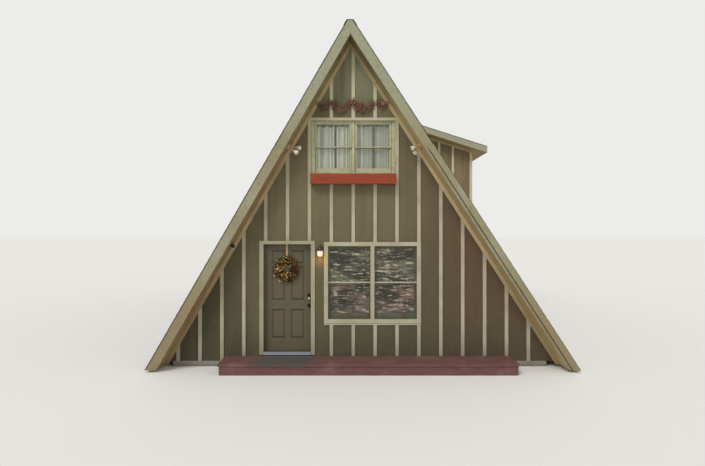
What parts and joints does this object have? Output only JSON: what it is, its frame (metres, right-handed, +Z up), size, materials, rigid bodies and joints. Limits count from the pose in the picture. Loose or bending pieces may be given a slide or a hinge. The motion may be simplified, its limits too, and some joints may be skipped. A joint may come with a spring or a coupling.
{
  "type": "a-frame cabin",
  "caption": "A-frame cabin with board-and-batten gables, steep roof slopes down to the ground, a shed dormer and a hinged entry door.",
  "frame": {"origin": "on the ground under the ridge, halfway between the two gable walls, on the foundation's underside", "axes": "+X to the right along the front, +Y from the front to the back, +Z up"},
  "size_m": [7.7592, 10.7663, 6.268],
  "materials": {
    "concrete": "matt grey concrete",
    "floor_wood": "sanded pine boards",
    "siding": "olive brown painted plywood siding",
    "trim": "khaki painted boards, weathered",
    "rake": "faded khaki green painted boards",
    "roof_frame": "rafters and sheathing",
    "shingle": "mineral-faced asphalt shingles",
    "soffit": "brown painted plywood",
    "door_paint": "satin paint",
    "aluminium": "dull mill finish",
    "dark_bronze": "oil-rubbed bronze",
    "satin_nickel": "satin",
    "hinge_steel": "dull",
    "twigs": "dry twigs and seed heads",
    "ribbon": "woven ribbon",
    "sash_paint": "satin paint",
    "glass": "clear",
    "curtain": "pleated sheer cloth",
    "planter_paint": "red oxide paint",
    "rusty_iron": "rusted sheet iron",
    "tan_enamel": "tan enamel",
    "lamp_glass": "white lamp glass",
    "black_enamel": "black enamel",
    "frosted_glass": "frosted, lit from inside",
    "deck_wood": "red-brown deck stain, worn"
  },
  "bodies": {
    "house": {"foundation": "concrete", "ground_floor": "floor_wood", "loft_floor": "floor_wood", "front_wall_left": "siding", "front_wall_mid": "siding", "front_wall_under_window": "siding", "front_wall_right": "siding", "front_gable": "siding", "back_wall": "siding", "back_gable": "siding", "roof_left": "roof_frame", "roof_right": "roof_frame", "ridge_beam": "floor_wood", "dormer_roof": "roof_frame", "dormer_cheeks": "siding", "dormer_side_wall": "siding", "shingles_left": "shingle", "shingles_right": "shingle", "shingles_dormer": "shingle", "ridge_cap": "shingle", "front_rake_boards": "rake", "lapped_rake_board": "rake", "back_rake_boards": "rake", "dormer_fascia": "rake", "soffit_boards": "soffit", "frieze_boards": "trim", "front_battens": "trim", "back_battens": "trim", "dormer_battens": "trim", "door_frame": "trim", "door_casing": "trim", "door_threshold": "aluminium", "frame_hinges": "hinge_steel", "window_casings": "trim", "window_frames": "sash_paint", "window_glass": "glass", "upper_curtains": "curtain", "curtain_rods": "satin_nickel", "planter_box": "planter_paint", "vine_ornament": "rusty_iron", "flood_lights": "tan_enamel", "flood_lamps": "lamp_glass", "soffit_lamp": "black_enamel", "wall_lantern": "black_enamel", "lantern_glass": "frosted_glass", "deck_boards": "deck_wood", "deck_frame": "deck_wood"},
    "door": {"entry_door": "door_paint", "door_knob": "dark_bronze", "door_deadbolt": "satin_nickel", "door_hinges": "hinge_steel", "door_wreath": "twigs", "wreath_ribbon": "ribbon"}
  },
  "joints": [
    {"name": "door_swing", "type": "hinge", "parent": "house", "child": "door", "pos_m": [-1.6275, -4.72, 1.28], "axis": [0, 0, 1], "range_deg": [0, 100]}
  ]
}
